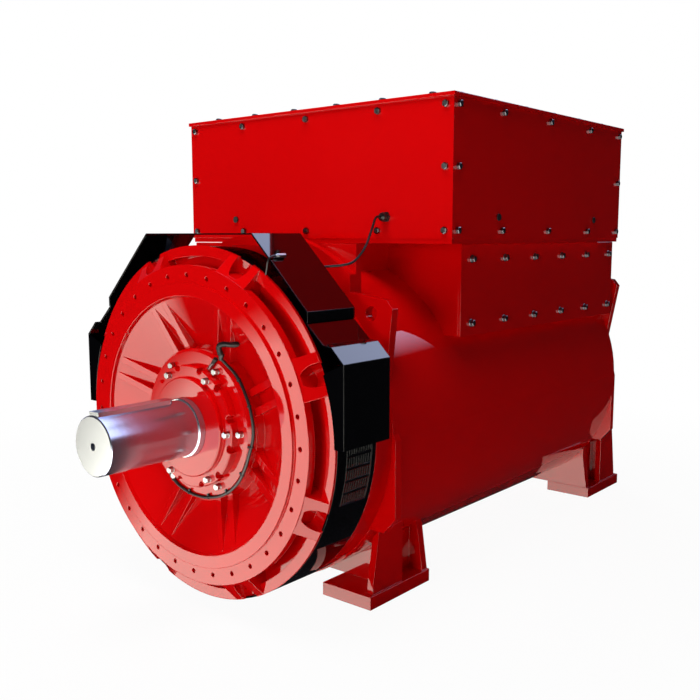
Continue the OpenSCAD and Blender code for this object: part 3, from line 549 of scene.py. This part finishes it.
def dull_ahead(paint, reach):
    # The gloss fades on faces that look ahead. It stays low down and inward, within the reach given.
    slope = 1.5
    tree = paint.node_tree
    skin = tree.nodes["Principled BSDF"]
    spot = tree.nodes.new("ShaderNodeTexCoord")
    facing = tree.nodes.new("ShaderNodeSeparateXYZ")
    place = tree.nodes.new("ShaderNodeSeparateXYZ")
    turned = tree.nodes.new("ShaderNodeMapRange")
    turned.inputs["From Min"].default_value = -0.9
    turned.inputs["From Max"].default_value = -0.6
    side = tree.nodes.new("ShaderNodeMath")
    side.operation = "ABSOLUTE"
    slant = tree.nodes.new("ShaderNodeMath")
    slant.operation = "MULTIPLY_ADD"
    slant.inputs[1].default_value = slope
    lower = tree.nodes.new("ShaderNodeMath")
    lower.operation = "LESS_THAN"
    lower.inputs[1].default_value = reach
    gloss = tree.nodes.new("ShaderNodeMath")
    gloss.operation = "MAXIMUM"
    tree.links.new(spot.outputs["Normal"], facing.inputs[0])
    tree.links.new(spot.outputs["Object"], place.inputs[0])
    tree.links.new(facing.outputs["Y"], turned.inputs["Value"])
    tree.links.new(place.outputs["X"], side.inputs[0])
    tree.links.new(side.outputs[0], slant.inputs[0])
    tree.links.new(place.outputs["Z"], slant.inputs[2])
    tree.links.new(slant.outputs[0], lower.inputs[0])
    tree.links.new(turned.outputs["Result"], gloss.inputs[0])
    tree.links.new(lower.outputs[0], gloss.inputs[1])
    tree.links.new(gloss.outputs[0], skin.inputs["Coat Weight"])


dull_ahead(sheet_black, reach=0.0)
for name in ("outlet_band", "right_outlet_grille", "left_outlet_grille",
             "upper_hood", "right_hood", "left_hood"):
    finish_node(name, sheet_black)

# Frame: rolled barrel, lifting plates, feet, bridge and saddle, welded from plate and sprayed red.
# Covers and box are bent sheet, and the rear bracket, the inlet and its bearing cover are castings.
# Plate and sheet lie a little flatter under the paint than the castings do.
plate_red, shaded_red = (
    enamel(name, red, deep_red, peel_height=0.03, smooth=0.34, dull=0.46, coat_roughness=0.03, coat_ior=1.5)
    for name in ("red_enamel_plate", "red_enamel_shaded"))
dull_ahead(shaded_red, reach=0.638)
for name in ("frame_barrel", "rear_end_plate", "rear_right_foot", "rear_left_foot", "front_bridge",
             "saddle_frame", "right_side_cover", "left_side_cover", "box_floor", "box_front_panel",
             "box_rear_panel", "box_right_panel", "box_left_panel", "box_lid"):
    finish_node(name, plate_red)
for name in ("front_lifting_plate", "front_right_foot", "front_left_foot"):
    finish_node(name, shaded_red)
for name in ("rear_bracket", "inlet_housing", "rear_bearing_cover"):
    finish_node(name, cast_red)

# Cover and box bolts: zinc-plated hexagon bolts with washers, in rows along the edges of every sheet.
# They are set in tapped strips, so that covers and lid come off.
# A darker zinc than on the hub bolts, with the same gloss.
darker_zinc = mottled("darker_zinc_plate", grain=120.0, dark=(0.11, 0.115, 0.13, 1), light=(0.25, 0.26, 0.29, 1),
                    smooth=0.22, dull=0.42, metallic=1.0)
sheet_bolt = hex_bolt("sheet_bolt", darker_zinc, across_flats=0.018, head_h=0.009, washer_d=0.025,
                      washer_h=0.002)
low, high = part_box("right_side_cover")
cover_rows = (low.z + 0.0386, low.z + 0.2337)
cover_columns = [low.y + 0.0595 + 0.1972 * i for i in range(6)]
for name, face, outward in (("right_cover_bolts", high.x, (1, 0, 0)),
                            ("left_cover_bolts", -high.x, (-1, 0, 0))):
    set_out(sheet_bolt, name, "housing",
            [((face, y, z), outward) for y in cover_columns for z in cover_rows])
low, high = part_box("box_floor")
half_x = high.x
mid_y = (low.y + high.y) / 2
panel_x = (-0.524, -0.286, 0, 0.286, 0.524)
panel_y = [mid_y + y for y in (-0.535, -0.2925, 0, 0.2925, 0.535)]
row_low = low.z + 0.0374
row_mid = low.z + 0.2136
row_high = low.z + 0.3825
for name, face, outward in (("front_panel_bolts", low.y, (0, -1, 0)),
                            ("rear_panel_bolts", high.y, (0, 1, 0))):
    places = [((x, face, z), outward) for x in panel_x for z in (row_low, row_high)]
    places += [((x, face, row_mid), outward) for x in (panel_x[0], panel_x[-1])]
    set_out(sheet_bolt, name, "housing", places)
for name, face, outward in (("right_panel_bolts", half_x, (1, 0, 0)),
                            ("left_panel_bolts", -half_x, (-1, 0, 0))):
    places = [((face, y, z), outward) for y in panel_y for z in (row_low, row_high)]
    places += [((face, y, row_mid), outward) for y in (panel_y[0], panel_y[-1])]
    set_out(sheet_bolt, name, "housing", places)
lid_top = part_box("box_lid")[1].z
lid_inset = 0.038
lid_x = (-0.45, -0.27, -0.09, 0.09, 0.27, 0.45)
lid_y = (-0.465, -0.279, -0.093, 0.093, 0.279, 0.465)
heads = []
for x in lid_x:
    heads += [(x, low.y + lid_inset, lid_top), (x, high.y - lid_inset, lid_top)]
for y in lid_y:
    heads += [(half_x - lid_inset, mid_y + y, lid_top), (-half_x + lid_inset, mid_y + y, lid_top)]
set_out(sheet_bolt, "lid_bolts", "housing", [(head, (0, 0, 1)) for head in heads])
bpy.data.objects.remove(sheet_bolt)

# Blanking plugs: domed black plastic caps pressed into the spare holes of the box, at the gland's height.
# Each has a thin rim on the sheet and a low crown.
rim_r = 0.0105
rim_h = 0.003
bpy.ops.object.select_all(action="DESELECT")
bpy.ops.mesh.primitive_cylinder_add(vertices=28, radius=rim_r, depth=rim_h, location=(0, 0, rim_h / 2))
plug = bpy.context.object
for face in plug.data.polygons:
    face.select = face.normal.z > 0.9
for step_in, rise in ((0.0022, 0.0020), (0.0035, 0.0010)):
    bpy.ops.object.mode_set(mode="EDIT")
    bpy.ops.mesh.inset(thickness=step_in)
    bpy.ops.transform.translate(value=(0, 0, rise))
    bpy.ops.object.mode_set(mode="OBJECT")
bpy.ops.object.transform_apply(location=True, rotation=True, scale=True)
plug.data.materials.append(plastic)
plug_height = 1.1325
front_plug_x = -0.324
side_plugs_y = (-0.1367, 0.5187)
front_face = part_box("box_front_panel")[0].y
side_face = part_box("box_right_panel")[1].x
places = [((front_plug_x, front_face, plug_height), (0, -1, 0))]
for side in (1, -1):
    places += [((side * side_face, y, plug_height), (side, 0, 0)) for y in side_plugs_y]
set_out(plug, "blanking_plugs", "housing", places)
bpy.data.objects.remove(plug)

# Box gland and its lead: a screwed plastic gland in the front panel, and a thin lead that falls from it.
# The lead passes beside the bridge and runs in under the slope of the upper hood.
finish_node("box_gland", plastic)
box_lead_d = 0.007
box_route = [(x, front_y + s, z) for x, s, z in (
    (0.317, 0.7777, 1.133), (0.317, 0.7727, 1.133), (0.317, 0.7677, 1.133), (0.319, 0.7557, 1.128),
    (0.327, 0.7347, 1.108), (0.338, 0.7057, 1.079), (0.3495, 0.6717, 1.048), (0.3505, 0.6417, 1.021),
    (0.3465, 0.6177, 1.005), (0.3355, 0.590, 0.998), (0.313, 0.568, 0.995), (0.304, 0.544, 0.994),
    (0.304, 0.520, 0.994), (0.304, 0.485, 0.994), (0.304, 0.450, 0.994))]
box_lead = smooth_lead("box_lead_tube", "box_lead", box_route, box_lead_d)

# Hood connector and its lead: a plated plug through the right slope of the hood.
# A thin plastic lead bends from it, over the front edge of the hood and down into the band.
finish_node("hood_connector", zinc)
hood_lead_d = 0.005
hood_route = [(x, front_y + s, z) for x, s, z in (
    (0.291, 0.3737, 1.0269), (0.291, 0.3707, 1.0269), (0.291, 0.3677, 1.0269), (0.291, 0.353, 1.022),
    (0.289, 0.347, 1.012), (0.285, 0.348, 0.996), (0.279, 0.349, 0.978))]
hood_lead = smooth_lead("hood_lead_tube", "hood_lead", hood_route, hood_lead_d)
